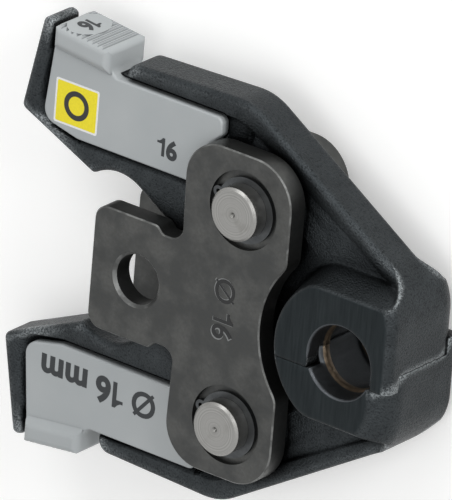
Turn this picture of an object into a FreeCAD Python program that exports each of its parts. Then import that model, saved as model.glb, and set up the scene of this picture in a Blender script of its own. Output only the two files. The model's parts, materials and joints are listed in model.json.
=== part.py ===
import FreeCAD, Part
import math
import os

# Press fitting tool jaw: two forged levers between two side plates, closed by a leg spring.
# Millimetres. X runs from the machine bolt to the nose, Y across the levers, Z is the thickness.
# The origin is the machine bolt bore's axis at mid thickness.

V = FreeCAD.Vector

# Side plates
PLATE_T = 5.8
PLATE_GAP = 12.6
BOLT_R = 6.6
BOLT_CHAMFER = 0.8
PLATE_CHAMFER = 0.35
TAB_BACK = 14.2
TAB_HALF = 16.6
TAB_CORNER = 4.0
TAB_FRONT = 5.2
TAB_SHOULDER_R = 1.6
NOTCH_R = 3.6
NOTCH_W = 7.9
NOTCH_DEPTH = 1.9
LOBE_BACK = 18.7
LOBE_FRONT = 14.5
LOBE_TOP = 14.7
LOBE_BACK_R = 10.5
LOBE_FRONT_R = 11.5
WAIST_GAP = 6.3
WAIST_R = 5.0

# Pivot pins and their rings
PIN_X = 30.9
PIN_Y = 29.0
PIN_R = 7.0
PIN_PROUD = 4.3
PIN_CHAMFER = 0.6
PIN_CENTRE_R = 0.7
PIN_FIT = 0.02
PIVOT_FIT = 0.05
GROOVE_DEPTH = 0.5
GROOVE_PLAY = 0.05
RING_T = 1.2
RING_W = 2.1
RING_ECCENTRIC = 0.3
RING_EAR_R = 1.5
RING_EAR_OUT = 1.6
RING_EAR_ANGLE = 17.0
RING_HOLE_R = 0.65
RING_SLOT_W = 2.4
COUNTERBORE_PLAY = 0.25
COUNTERBORE_D = 1.5

# Lever forging
LEVER_PLAY = 0.15
EYE_WALL = 6.5
RIM_DROP = 0.55
RIM_R = 1.4
WEB_T = 8.2
TAIL_WEB_T = 6.6
LIP_X = 70.5
LIP_Y = 28.3
LIP_W = 3.2
LIP_R = 1.6
LIP_STEP = 0.9
LIP_TOP_R = 1.3
HEEL_X = 75.6
HEEL_Y = 2.0
HEEL_R = 1.8
TIP_ANGLE = 211.5
TIP_FLAT = 1.25
TIP_R = 1.5
SEAT_X = 43.8
SEAT_Y = 3.9
SEAT_R = 13.0
FLANK_X = 21.4
FLANK_Y = 18.25
FLANK_R = 6.0
CAVITY_X = 3.1
CAVITY_Y = 19.4
CAVITY_R = 5.0
WALL_T = 4.6
WALL_X = 43.7
WALL_Y = 23.8
WALL_END_R = 3.4
KNEE_X = 5.1
KNEE_Y = 25.3
KNEE_R = 16.0
SADDLE_Y = 19.3
SADDLE_R = 0.3
SADDLE_LIP_R = 1.0

# Nose and press bore
PIN_TO_BORE = 34.4
NOSE_REACH = 15.2
NOSE_CORNER_Y = 19.9
NOSE_CORNER_R = 8.0
BORE_R = 9.55
BORE_MOUTH = 0.4
RIB_IN = 0.85
RIB_W = 2.6
LAND_W = 5.6
RIB_SLOPE = 0.4
MIDDLE_OUT = 0.35
BOSS_PROUD = 2.4
BOSS_R = 20.3
BOSS_SHOULDER = 2.7
BOSS_BLEND_R = 8.0
BOSS_DRAFT = 3.0
BOSS_EDGE_R = 1.2
FLANGE_W = 4.0
KNEE_INSET = 1.5
POCKET_END = 7.6
POCKET_END_R = 1.0
LAP_T = 4.8
LAP_REACH = 4.4
PART_GAP = 0.2
LAP_FLARE = 0.6
FLARE_TOP = 1.5
NOSE_EDGE_R = 2.8

# Grip covers
COVER_SINK = 0.05
COVER_PLAY = 0.1
COVER_EDGE_R = 0.6
COVER_INNER_Y = -1.0
COVER_OUTER_Y = 18.8
COVER_END_X = 19.3
COVER_END_LOW = 6.0
COVER_END_TOP_X = 12.8
COVER_END_TOP = 14.2
COVER_END_R = 2.0
COVER_HEEL_X = 68.2
COVER_HEEL_Y = 1.6
COVER_HEEL_R = 4.0
COVER_BEND_X = 57.0
COVER_BEND_R = 8.0
COVER_LIP_X = 65.5
PAD_X = 47.9
PAD_Y = 28.0
PAD_RISE = 2.0
PAD_CORNER_R = 1.6
PAD_STEP_R = 2.4
PAD_SIDE = 2.0
PAD_SIDE_R = 1.8
PAD_PLAN_R = 2.0
PAD_T = 7.4
PAD_FLARE = 2.6
PAD_FLARE_R = 2.0
GROOVE_PITCH = 1.65
GROOVE_W = 1.4
GROOVE_CUT = 0.5
OVAL_HALF_X = 4.7
OVAL_HALF_Z = 7.0
OVAL_IN = 5.2
PEG_R = 3.0
PEG_X = 55.0
PEG_Y = 9.0
PEG_PLAY = 0.1

# Tail pocket round the cover
POCKET_FLOOR_GAP = 0.4
POCKET_RIM_GAP = 1.5
POCKET_LIP_GAP = 3.3

# Closing spring and its post
WIRE_R = 0.9
COIL_R = 5.0
COIL_PITCH = 2.0
COIL_TURNS = 3
SPRING_X = 25.0
LEG_TIP = 2.4
LEG_PLAY = 0.1
POST_PLAY = 0.15
POST_END_R = 3.0
POST_DEPTH = 2.0
POST_FIT = 0.02

# Derived places
INNER_Z = PLATE_GAP / 2
OUTER_Z = INNER_Z + PLATE_T
FLOOR_Z = OUTER_Z - COUNTERBORE_D
PIN_END_Z = OUTER_Z + PIN_PROUD
EYE_Z = INNER_Z - LEVER_PLAY
RIM_Z = EYE_Z - RIM_DROP
WEB_Z = WEB_T / 2
TAIL_WEB_Z = TAIL_WEB_T / 2
EYE_R = PIN_R + PIVOT_FIT
BORE_X = PIN_X + PIN_TO_BORE
NOSE_X = BORE_X + NOSE_REACH
BOSS_Z = OUTER_Z + BOSS_PROUD
BOSS_HALF = BOSS_R - BOSS_SHOULDER
LAP_Z = BOSS_Z - LAP_T
COVER_Z = EYE_Z - COVER_SINK
PAD_Z = COVER_Z + PAD_SIDE
COVER_IN_Z = TAIL_WEB_Z + COVER_PLAY
COUNTERBORE_R = PIN_R + RING_EAR_OUT + RING_EAR_R + COUNTERBORE_PLAY
TALL = 4 * BOSS_Z
EPS = 0.01
SAME_POINT = 1e-6
# How far a cutting block reaches past what it cuts
PAST = 1.0


def corner_wire(corners, z):
    """A closed wire at height z through corners (x, y, radius), each rounded by its radius."""
    joins = []
    count = len(corners)
    for i in range(count):
        x, y, radius = corners[i]
        here = V(x, y, z)
        before = V(corners[i - 1][0], corners[i - 1][1], z) - here
        after = V(corners[(i + 1) % count][0], corners[(i + 1) % count][1], z) - here
        before.normalize()
        after.normalize()
        if radius <= 0:
            joins.append((here, None, here))
            continue
        half = before.getAngle(after) / 2
        middle = before + after
        middle.normalize()
        run = radius / math.tan(half)
        centre = here + middle * (radius / math.sin(half))
        joins.append((here + before * run, centre - middle * radius, here + after * run))
    edges = []
    for i in range(count):
        start, through, end = joins[i]
        if through is not None:
            edges.append(Part.Arc(start, through, end).toShape())
        next_start = joins[(i + 1) % count][0]
        if end.distanceToPoint(next_start) > SAME_POINT:
            edges.append(Part.LineSegment(end, next_start).toShape())
    return Part.Wire(edges)


def prism(corners, low, high):
    """The corner outline as a straight block from height low to height high."""
    face = Part.Face(corner_wire(corners, low))
    return face.extrude(V(0, 0, high - low))


def taper(low_corners, low, high_corners, high):
    """A block between two outlines that have the same corners at two heights."""
    wires = [corner_wire(low_corners, low), corner_wire(high_corners, high)]
    return Part.makeLoft(wires, True, True)


def box(x0, x1, y0, y1, z0, z1):
    return Part.makeBox(x1 - x0, y1 - y0, z1 - z0, V(x0, y0, z0))


def cylinder(radius, x, y, z0, z1):
    return Part.makeCylinder(radius, z1 - z0, V(x, y, z0), V(0, 0, 1))


def flipped(shape):
    """The same piece turned half a turn about X: upper to lower, front to rear."""
    copy = shape.copy()
    copy.rotate(V(0, 0, 0), V(1, 0, 0), 180)
    return copy


def mirrored_z(shape):
    return shape.mirror(V(0, 0, 0), V(0, 0, 1))


def mirrored_y(shape):
    return shape.mirror(V(0, 0, 0), V(0, 1, 0))


def one_solid(shape):
    """The single clean solid of a boolean result."""
    clean = shape.removeSplitter()
    if len(clean.Solids) != 1:
        raise ValueError("expected one solid, got %d" % len(clean.Solids))
    return clean.Solids[0]


def edges_at(shape, height, keep):
    """Edges that lie at one height and whose middle point passes the test."""
    found = []
    for edge in shape.Edges:
        first, last = edge.ParameterRange
        middle = edge.valueAt((first + last) / 2)
        ends = [vertex.Z for vertex in edge.Vertexes]
        if all(abs(z - height) < EPS for z in ends + [middle.z]) and keep(middle):
            found.append(edge)
    return found


def everywhere(point):
    return True


# Side plates


def plate_corners():
    """Half of the plate outline on the +Y side, from the tab round the lobe to the waist."""
    notch_x = TAB_FRONT + NOTCH_W
    notch_y = TAB_HALF - NOTCH_DEPTH
    back = PIN_X - LOBE_BACK
    front = PIN_X + LOBE_FRONT
    top = PIN_Y + LOBE_TOP
    return [
        (-TAB_BACK, TAB_HALF, TAB_CORNER),
        (TAB_FRONT, TAB_HALF, TAB_SHOULDER_R),
        (TAB_FRONT + NOTCH_DEPTH, notch_y, NOTCH_R / 2),
        (notch_x, notch_y, NOTCH_R),
        (back, top, LOBE_BACK_R),
        (front, top, LOBE_FRONT_R),
    ]


def side_plate():
    """The front side plate: twin lobes on the pins, a waist round the nose and the bolt tab."""
    upper = plate_corners()
    lower = [(x, -y, r) for x, y, r in reversed(upper)]
    plate = prism(upper + lower, INNER_Z, OUTER_Z)
    waist = BOSS_R + WAIST_GAP
    plate = plate.cut(cylinder(waist, BORE_X, 0, 0, TALL))
    cusps = [
        edge
        for edge in plate.Edges
        if len(edge.Vertexes) == 2
        and abs(edge.Vertexes[0].X - edge.Vertexes[1].X) < EPS
        and abs(edge.Vertexes[0].Y - edge.Vertexes[1].Y) < EPS
        and abs(edge.Vertexes[0].X - PIN_X - LOBE_FRONT) < EPS
        and abs(math.hypot(edge.Vertexes[0].X - BORE_X, edge.Vertexes[0].Y) - waist) < EPS
    ]
    plate = plate.makeFillet(WAIST_R, cusps)
    plate = plate.makeChamfer(PLATE_CHAMFER, edges_at(plate, OUTER_Z, everywhere))
    plate = plate.cut(cylinder(BOLT_R, 0, 0, 0, TALL))
    mouth = Part.makeCone(
        BOLT_R, BOLT_R + BOLT_CHAMFER, BOLT_CHAMFER, V(0, 0, OUTER_Z - BOLT_CHAMFER), V(0, 0, 1)
    )
    plate = plate.cut(mouth)
    for side in (1, -1):
        plate = plate.cut(cylinder(PIN_R + PIN_FIT, PIN_X, side * PIN_Y, 0, TALL))
        plate = plate.cut(cylinder(COUNTERBORE_R, PIN_X, side * PIN_Y, FLOOR_Z, TALL))
    seat = cylinder(POST_END_R + POST_FIT, SPRING_X, 0, 0, INNER_Z + POST_DEPTH)
    return one_solid(plate.cut(seat))


# Pivot pins and retaining rings


def pivot_pin():
    """A turned pin with a chamfer, a centre mark and a ring groove at each end."""
    groove_r = PIN_R - GROOVE_DEPTH
    groove_top = FLOOR_Z + RING_T + GROOVE_PLAY
    half = [
        V(PIN_R, 0, 0),
        V(PIN_R, 0, FLOOR_Z - GROOVE_PLAY),
        V(groove_r, 0, FLOOR_Z - GROOVE_PLAY),
        V(groove_r, 0, groove_top),
        V(PIN_R, 0, groove_top),
        V(PIN_R, 0, PIN_END_Z - PIN_CHAMFER),
        V(PIN_R - PIN_CHAMFER, 0, PIN_END_Z),
        V(PIN_CENTRE_R, 0, PIN_END_Z),
        V(0, 0, PIN_END_Z - PIN_CENTRE_R),
    ]
    lower_half = [V(p.x, 0, -p.z) for p in reversed(half[1:])]
    wire = Part.makePolygon(half[1:] + lower_half + [half[1]])
    pin = Part.Face(wire).revolve(V(0, 0, 0), V(0, 0, 1), 360)
    pin.translate(V(PIN_X, PIN_Y, 0))
    return one_solid(pin)


def retaining_ring():
    """An open spring ring, wider opposite its gap, with two eared ends that have plier holes."""
    inner_r = PIN_R - GROOVE_DEPTH + GROOVE_PLAY
    outer_r = inner_r + RING_W
    z0 = FLOOR_Z
    z1 = FLOOR_Z + RING_T
    ring = cylinder(outer_r, RING_ECCENTRIC, 0, z0, z1)
    ear_r = PIN_R + RING_EAR_OUT
    for side in (1, -1):
        angle = math.radians(180 - side * RING_EAR_ANGLE)
        ring = ring.fuse(cylinder(RING_EAR_R, ear_r * math.cos(angle), ear_r * math.sin(angle), z0, z1))
    ring = ring.cut(cylinder(inner_r, 0, 0, z0, z1))
    for side in (1, -1):
        angle = math.radians(180 - side * RING_EAR_ANGLE)
        ring = ring.cut(cylinder(RING_HOLE_R, ear_r * math.cos(angle), ear_r * math.sin(angle), z0, z1))
    slot = box(-2 * outer_r, 0, -RING_SLOT_W / 2, RING_SLOT_W / 2, z0, z1)
    ring = ring.cut(slot)
    ring.translate(V(PIN_X, PIN_Y, 0))
    return one_solid(ring)


# Forged levers


def tail(x, y):
    """A point given by its reach behind the pin and its height above the pin."""
    return PIN_X - x, PIN_Y + y


def outer_y(x, inset=0.0):
    """Height of the sloping outer line at x, moved inwards square to itself by the inset."""
    x0, y0 = PIN_X - KNEE_X, PIN_Y + KNEE_Y
    run, rise = NOSE_X - x0, NOSE_CORNER_Y - y0
    return y0 + rise * (x - x0) / run - inset * math.hypot(run, rise) / run


def roller_tip(seat_x, seat_y, flank_x, flank_y):
    """The tail's inner tip, as far out along the seat's slope as the seat's round needs."""
    tip_way = math.radians(TIP_ANGLE)
    flank_way = math.atan2(flank_y - seat_y, flank_x - seat_x)
    half = (tip_way - 2 * math.pi - flank_way) / -2
    run = SEAT_R / math.tan(half) + TIP_FLAT
    return seat_x + run * math.cos(tip_way), seat_y + run * math.sin(tip_way)


def lever_corners():
    lip_x, lip_y = tail(LIP_X, LIP_Y)
    heel_x, heel_y = tail(HEEL_X, HEEL_Y)
    seat_x, seat_y = tail(SEAT_X, -SEAT_Y)
    flank_x, flank_y = tail(FLANK_X, -FLANK_Y)
    tip_x, tip_y = roller_tip(seat_x, seat_y, flank_x, flank_y)
    wall_x, wall_y = tail(WALL_X, WALL_Y)
    saddle_y = PIN_Y + SADDLE_Y
    far_x = NOSE_X + NOSE_REACH
    far_y = outer_y(far_x)
    return [
        (lip_x, lip_y, LIP_R),
        (heel_x, heel_y, HEEL_R),
        (tip_x, tip_y, TIP_R),
        (seat_x, seat_y, SEAT_R),
        (flank_x, flank_y, FLANK_R),
        (PIN_X + CAVITY_X, PIN_Y - CAVITY_Y, CAVITY_R),
        (BORE_X - BOSS_R - PAST, PART_GAP / 2, 0),
        (far_x, PART_GAP / 2, 0),
        (far_x, far_y, 0),
        (PIN_X - KNEE_X, PIN_Y + KNEE_Y, KNEE_R),
        (wall_x, wall_y, WALL_END_R),
        (wall_x, saddle_y, SADDLE_R),
        (lip_x + LIP_W, saddle_y, SADDLE_LIP_R),
        (lip_x + LIP_W, lip_y - LIP_STEP, LIP_TOP_R),
    ]


def envelope():
    """The room that the nose may fill: end face, corner and outer line, rounded to the faces."""
    low_y = -LAP_REACH - PAST
    corners = [
        (PIN_X, low_y, 0),
        (NOSE_X, low_y, 0),
        (NOSE_X, NOSE_CORNER_Y, NOSE_CORNER_R),
        (PIN_X - KNEE_X, PIN_Y + KNEE_Y, KNEE_R),
        (PIN_X - 2 * KNEE_X, 0, 0),
    ]
    room = prism(corners, -BOSS_Z, BOSS_Z)

    def outer(point):
        return point.x > PIN_X and point.y > low_y + EPS

    rims = edges_at(room, BOSS_Z, outer) + edges_at(room, -BOSS_Z, outer)
    return room.makeFillet(NOSE_EDGE_R, rims)


def lever_blank():
    """The forging's flat body with its outer edges rounded, trimmed to the nose."""
    blank = prism(lever_corners(), -RIM_Z, RIM_Z)
    hidden_x = PIN_X - FLANK_X

    def outer(point):
        inside = point.x > hidden_x and point.y < PIN_Y - CAVITY_Y / 2
        return not inside and point.x < NOSE_X

    rims = edges_at(blank, RIM_Z, outer) + edges_at(blank, -RIM_Z, outer)
    blank = blank.makeFillet(RIM_R, rims)
    beyond = box(BORE_X, 2 * NOSE_X, 0, TALL, -TALL, TALL).cut(envelope())
    return blank.cut(beyond)


def nose_pocket():
    """The recess of the web, between the outer flange, the eye and the boss."""
    inner_wall = PIN_Y + WALL_Y - WALL_T
    end_x = NOSE_X - POCKET_END
    end_y = outer_y(end_x, FLANGE_W)
    start_x = PIN_X - COVER_END_TOP_X + POCKET_RIM_GAP / 2
    depth = RIM_Z - WEB_Z

    def corners(grow):
        return [
            (start_x, inner_wall + grow, 0),
            (PIN_X - KNEE_X - KNEE_INSET, inner_wall + grow, KNEE_R - FLANGE_W),
            (end_x, end_y + grow, POCKET_END_R),
            (end_x, -PAST, 0),
            (PIN_X, -PAST, 0),
            (PIN_X, PIN_Y, 0),
            (start_x, PIN_Y, 0),
        ]

    return taper(corners(0), WEB_Z, corners(depth), RIM_Z + depth)


def boss_wire(grow, z):
    """The boss outline at height z: round the bore, blended into straight sides."""
    radius = BOSS_R + grow
    half = BOSS_HALF + grow
    blend = BOSS_BLEND_R + grow
    centre = V(BORE_X - math.sqrt((radius - blend) ** 2 - (half - blend) ** 2), half - blend, z)
    outward = centre - V(BORE_X, 0, z)
    outward.normalize()
    between = outward + V(0, 1, 0)
    between.normalize()
    join = centre + outward * blend
    middle = centre + between * blend
    top = V(centre.x, half, z)
    end = V(NOSE_X + BOSS_DRAFT + PAST, half, z)

    def below(point):
        return V(point.x, -point.y, point.z)

    edges = [
        Part.Arc(below(join), V(BORE_X - radius, 0, z), join),
        Part.Arc(join, middle, top),
        Part.LineSegment(top, end),
        Part.LineSegment(end, below(end)),
        Part.LineSegment(below(end), below(top)),
        Part.Arc(below(top), below(middle), below(join)),
    ]
    return Part.Wire([edge.toShape() for edge in edges])


def boss():
    """The thick nose boss over both levers, as a whole, with drafted sides and rounded rims."""
    top = Part.makeLoft([boss_wire(BOSS_DRAFT, WEB_Z), boss_wire(0, BOSS_Z)], True, True)
    top = top.makeFillet(BOSS_EDGE_R, edges_at(top, BOSS_Z, everywhere))
    core = Part.Face(boss_wire(BOSS_DRAFT, -WEB_Z)).extrude(V(0, 0, 2 * WEB_Z))
    return core.fuse([top, mirrored_z(top)])


def nose_flare():
    """The end wall past the boss, swept up from the web to the boss face by a hollow round."""
    radius = BOSS_Z - WEB_Z
    foot = NOSE_X - FLARE_TOP - radius
    wall = box(foot, NOSE_X, BOSS_HALF / 2, TALL, WEB_Z, BOSS_Z)
    hollow = Part.makeCylinder(radius, TALL, V(foot, 0, BOSS_Z), V(0, 1, 0))
    return wall.cut(hollow)


def press_bore():
    """What the bore takes out: a land at each face, a press rib behind it, a groove between."""
    land_z = BOSS_Z - LAND_W
    rib_z = land_z - RIB_W
    half = [
        V(BORE_R + BORE_MOUTH, 0, BOSS_Z + EPS),
        V(BORE_R, 0, BOSS_Z - BORE_MOUTH),
        V(BORE_R, 0, land_z),
        V(BORE_R - RIB_IN, 0, land_z - RIB_SLOPE),
        V(BORE_R - RIB_IN, 0, rib_z + RIB_SLOPE),
        V(BORE_R + MIDDLE_OUT, 0, rib_z),
    ]
    lower_half = [V(p.x, 0, -p.z) for p in reversed(half)]
    ends = [V(0, 0, -BOSS_Z - EPS), V(0, 0, BOSS_Z + EPS)]
    wire = Part.makePolygon(half + lower_half + ends + [half[0]])
    bore = Part.Face(wire).revolve(V(0, 0, 0), V(0, 0, 1), 360)
    bore.translate(V(BORE_X, 0, 0))
    return bore


def lap_bore():
    """The straight-sided mouth of the bore through the lap that reaches over the other lever."""
    corners = [
        (BORE_X - BORE_R, 0, 0),
        (BORE_X - BORE_R - LAP_FLARE, -LAP_REACH - PAST, 0),
        (BORE_X + BORE_R + LAP_FLARE, -LAP_REACH - PAST, 0),
        (BORE_X + BORE_R, 0, 0),
    ]
    return prism(corners, LAP_Z, BOSS_Z + PAST)


def parting_space():
    """The room that the upper lever's nose may fill, stepped where the two levers lap."""
    gap = PART_GAP / 2
    middle = box(0, 2 * NOSE_X, gap, TALL, -LAP_Z + gap, TALL)
    lap = box(0, 2 * NOSE_X, -LAP_REACH + gap, TALL, LAP_Z + gap, TALL)
    rear = box(0, 2 * NOSE_X, LAP_REACH + gap, TALL, -TALL, TALL)
    return middle.fuse([lap, rear])


def cover_corners(grow=0.0, lip_gap=None, open_top=False):
    """The grip cover's outline in plan, or the same moved out to make its pocket."""
    left = grow if lip_gap is None else lip_gap
    heel_x, heel_y = tail(COVER_HEEL_X + left, COVER_HEEL_Y - grow)
    bend_x, inner = tail(COVER_BEND_X, COVER_INNER_Y - grow)
    lip_x, pad_y = tail(COVER_LIP_X + grow, PAD_Y)
    pad_x, pad_low = tail(PAD_X - grow, PAD_Y - PAD_RISE)
    outer = PIN_Y + COVER_OUTER_Y + grow
    end_low_x, end_low_y = tail(COVER_END_X - grow, COVER_END_LOW)
    end_top_x, end_top_y = tail(COVER_END_TOP_X - grow, COVER_END_TOP)
    if open_top:
        pad_y = pad_low = PIN_Y + LIP_Y + PAST
    return [
        (heel_x, heel_y, COVER_HEEL_R),
        (bend_x, inner, COVER_BEND_R),
        (end_low_x, inner, COVER_END_R),
        (end_low_x, end_low_y, COVER_END_R),
        (end_top_x, end_top_y, COVER_END_R),
        (end_top_x, outer, COVER_END_R),
        (pad_x, outer, PAD_STEP_R),
        (pad_x, pad_low, PAD_CORNER_R),
        (lip_x, pad_y, PAD_CORNER_R),
    ]


def tail_pocket():
    """The recess in one side of the tail that the cover's wall lies in, open at the pad."""
    floor = cover_corners(POCKET_FLOOR_GAP, POCKET_FLOOR_GAP, True)
    rim = cover_corners(POCKET_RIM_GAP, POCKET_LIP_GAP, True)
    return taper(floor, TAIL_WEB_Z, rim, RIM_Z + EPS)


def jaw_lever():
    """The upper lever: tail with its roller seat, pivot eye, web, flange and stepped nose."""
    body = lever_blank()
    pockets = [nose_pocket(), tail_pocket()]
    body = body.cut(pockets + [mirrored_z(pocket) for pocket in pockets])
    eye = cylinder(PIN_R + EYE_WALL, PIN_X, PIN_Y, -EYE_Z, EYE_Z)
    flare = nose_flare()
    nose = boss().common(parting_space())
    nose = nose.fuse([flare, mirrored_z(flare)]).common(envelope())
    body = body.fuse([eye, nose])
    body = body.cut([press_bore(), lap_bore()])
    body = body.cut(cylinder(EYE_R, PIN_X, PIN_Y, -TALL, TALL))
    peg_x, peg_y = tail(PEG_X, PEG_Y)
    body = body.cut(cylinder(PEG_R + PEG_PLAY, peg_x, peg_y, -TALL, TALL))
    return one_solid(body)


# Grip covers


def thumb_pad():
    """The pad over the lever's end, wider than the walls and rounded along its sides and ends."""
    pad_x, pad_low = tail(PAD_X, PAD_Y - PAD_RISE)
    lip_x, pad_y = tail(COVER_LIP_X, PAD_Y)
    foot = pad_y - PAD_T
    foot_z = COVER_Z - COVER_EDGE_R
    section = [
        (-foot_z, foot, 0),
        (foot_z, foot, 0),
        (PAD_Z, foot + PAD_FLARE, PAD_FLARE_R),
        (PAD_Z, pad_y, PAD_SIDE_R),
        (-PAD_Z, pad_y, PAD_SIDE_R),
        (-PAD_Z, foot + PAD_FLARE, PAD_FLARE_R),
    ]
    face = Part.Face(corner_wire(section, 0))
    face.rotate(V(0, 0, 0), V(0, 1, 0), -90)
    face.translate(V(lip_x, 0, 0))
    block = face.extrude(V(pad_x - lip_x, -PAD_RISE, 0))
    ends = [
        (lip_x, foot - PAD_RISE - PAST, 0),
        (pad_x, foot - PAD_RISE - PAST, 0),
        (pad_x, pad_low, PAD_CORNER_R),
        (lip_x, pad_y, PAD_CORNER_R),
    ]
    plan = [
        (lip_x, -PAD_Z, PAD_PLAN_R),
        (pad_x, -PAD_Z, PAD_PLAN_R),
        (pad_x, PAD_Z, PAD_PLAN_R),
        (lip_x, PAD_Z, PAD_PLAN_R),
    ]
    column = prism(plan, -2 * pad_y, 0)
    column.rotate(V(0, 0, 0), V(1, 0, 0), 90)
    return block.common(prism(ends, -TALL, TALL)).common(column)


def pad_grooves():
    """Grooves across the thumb pad, left out under the flat oval at its outer end."""
    pad_x, pad_low = tail(PAD_X, PAD_Y - PAD_RISE)
    lip_x, pad_y = tail(COVER_LIP_X, PAD_Y)
    slope = (pad_y - pad_low) / (lip_x - pad_x)
    count = int((pad_x - lip_x - 2 * PAD_CORNER_R) / GROOVE_PITCH)
    grooves = []
    for i in range(count + 1):
        x = pad_x - PAD_CORNER_R - GROOVE_W / 2 - i * GROOVE_PITCH
        y = pad_low + slope * (x - pad_x)
        points = [
            V(x - GROOVE_W / 2, y + EPS, -TALL / 2),
            V(x, y - GROOVE_CUT, -TALL / 2),
            V(x + GROOVE_W / 2, y + EPS, -TALL / 2),
            V(x, y + PAST, -TALL / 2),
        ]
        face = Part.Face(Part.makePolygon(points + [points[0]]))
        grooves.append(face.extrude(V(0, 0, TALL)))
    ellipse = Part.Ellipse(V(0, 0, 0), OVAL_HALF_Z, OVAL_HALF_X)
    oval = Part.Face(Part.Wire(ellipse.toShape())).extrude(V(0, 0, PAD_T))
    oval.rotate(V(0, 0, 0), V(0, 0, 1), 90)
    oval.rotate(V(0, 0, 0), V(1, 0, 0), -90)
    oval.translate(V(lip_x + OVAL_IN, pad_y - PAD_T / 2, 0))
    return [groove.cut(oval) for groove in grooves]


def grip_cover():
    """The upper lever's one-piece plastic grip: two side walls joined by the thumb pad."""
    cover = prism(cover_corners(), -COVER_Z, COVER_Z)
    rims = edges_at(cover, COVER_Z, everywhere) + edges_at(cover, -COVER_Z, everywhere)
    cover = cover.makeFillet(COVER_EDGE_R, rims).fuse(thumb_pad())
    slot_top = PIN_Y + SADDLE_Y + COVER_PLAY
    slot = box(PIN_X - HEEL_X, PIN_X, 0, slot_top, -COVER_IN_Z, COVER_IN_Z)
    cover = cover.cut(slot)
    cover = cover.cut(pad_grooves())
    peg_x, peg_y = tail(PEG_X, PEG_Y)
    peg = cylinder(PEG_R, peg_x, peg_y, COVER_PLAY, COVER_IN_Z + EPS)
    cover = cover.fuse([peg, mirrored_z(peg)])
    return one_solid(cover)


# Closing spring and its post


def spring_post():
    """A turned post between the plates, its thinner ends seated in blind holes."""
    core_r = COIL_R - WIRE_R - POST_PLAY
    core = cylinder(core_r, SPRING_X, 0, -INNER_Z + POST_FIT, INNER_Z - POST_FIT)
    end_z = INNER_Z + POST_DEPTH - COVER_PLAY
    ends = cylinder(POST_END_R, SPRING_X, 0, -end_z, end_z)
    return one_solid(core.fuse(ends))


def closing_spring():
    """A leg spring: its coil sits on the post and each leg bears on a lever's inner flank."""
    flank_x, flank_y = tail(FLANK_X, -FLANK_Y)
    touch_x = flank_x - SPRING_X
    touch_y = flank_y - WIRE_R - LEG_PLAY
    leave = math.atan2(touch_y, touch_x) - math.acos(COIL_R / math.hypot(touch_x, touch_y))
    whole_bends = 2 * COIL_TURNS - 1
    part_bend = math.pi / 2 + leave

    def on_coil(bend):
        angle = math.pi / 2 + bend * math.pi
        height = (bend - whole_bends / 2) * COIL_PITCH / 2
        return V(SPRING_X + COIL_R * math.cos(angle), COIL_R * math.sin(angle), height)

    # Flat half-turn bends, each tilted by the coil's pitch, run on smoothly from one to the next.
    bends = []
    for i in range(-1, whole_bends + 1):
        arc = Part.Arc(on_coil(i), on_coil(i + 0.5), on_coil(i + 1)).toShape()
        first, last = arc.ParameterRange
        if i < 0:
            first = last - part_bend
        if i == whole_bends:
            last = first + part_bend
        bends.append(arc.Curve.toShape(first, last))
    low = bends[0].valueAt(bends[0].FirstParameter)
    low_way = bends[0].tangentAt(bends[0].FirstParameter)
    high = bends[-1].valueAt(bends[-1].LastParameter)
    high_way = bends[-1].tangentAt(bends[-1].LastParameter)
    plan_run = math.sqrt(touch_x ** 2 + touch_y ** 2 - COIL_R ** 2) + LEG_TIP
    leg_run = plan_run / math.hypot(high_way.x, high_way.y)
    low_end = low - low_way * leg_run
    low_leg = Part.LineSegment(low_end, low).toShape()
    high_leg = Part.LineSegment(high, high + high_way * leg_run).toShape()
    path = Part.Wire([low_leg] + bends + [high_leg])
    section = Part.Wire(Part.Circle(low_end, low_way, WIRE_R).toShape())
    return one_solid(path.makePipeShell([section], True, True))


def main():
    plate = side_plate()
    pin = pivot_pin()
    ring = retaining_ring()
    lever = jaw_lever()
    cover = grip_cover()
    pieces = {
        "front_side_plate": plate,
        "rear_side_plate": flipped(plate),
        "upper_pivot_pin": pin,
        "lower_pivot_pin": flipped(pin),
        "front_upper_ring": ring,
        "front_lower_ring": mirrored_y(ring),
        "rear_upper_ring": mirrored_z(ring),
        "rear_lower_ring": flipped(ring),
        "upper_jaw": lever,
        "lower_jaw": flipped(lever),
        "upper_grip_cover": cover,
        "lower_grip_cover": flipped(cover),
        "spring_post": spring_post(),
        "closing_spring": closing_spring(),
    }
    os.makedirs("parts", exist_ok=True)
    for name, shape in pieces.items():
        shape.exportStep("parts/" + name + ".step")


main()
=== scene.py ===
import json
import math

import bmesh
import bpy
from mathutils import Matrix, Vector


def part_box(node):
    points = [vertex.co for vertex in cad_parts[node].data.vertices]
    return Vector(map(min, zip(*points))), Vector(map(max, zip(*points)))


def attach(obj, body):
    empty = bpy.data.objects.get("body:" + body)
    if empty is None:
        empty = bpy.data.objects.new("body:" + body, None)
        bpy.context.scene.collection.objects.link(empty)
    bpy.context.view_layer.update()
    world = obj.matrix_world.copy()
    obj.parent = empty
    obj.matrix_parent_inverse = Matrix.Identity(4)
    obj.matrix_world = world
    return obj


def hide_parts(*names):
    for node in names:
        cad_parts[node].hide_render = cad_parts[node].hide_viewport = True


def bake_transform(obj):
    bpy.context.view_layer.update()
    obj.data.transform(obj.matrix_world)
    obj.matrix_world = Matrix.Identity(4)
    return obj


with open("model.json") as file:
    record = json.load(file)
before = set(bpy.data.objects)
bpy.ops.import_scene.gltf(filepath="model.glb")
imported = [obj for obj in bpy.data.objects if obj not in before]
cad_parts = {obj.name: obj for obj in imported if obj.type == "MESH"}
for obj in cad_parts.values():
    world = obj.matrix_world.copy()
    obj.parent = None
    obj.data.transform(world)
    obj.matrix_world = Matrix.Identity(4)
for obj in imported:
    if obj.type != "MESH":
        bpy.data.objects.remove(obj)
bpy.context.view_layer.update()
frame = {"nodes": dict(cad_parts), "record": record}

MM = 0.001

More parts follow.
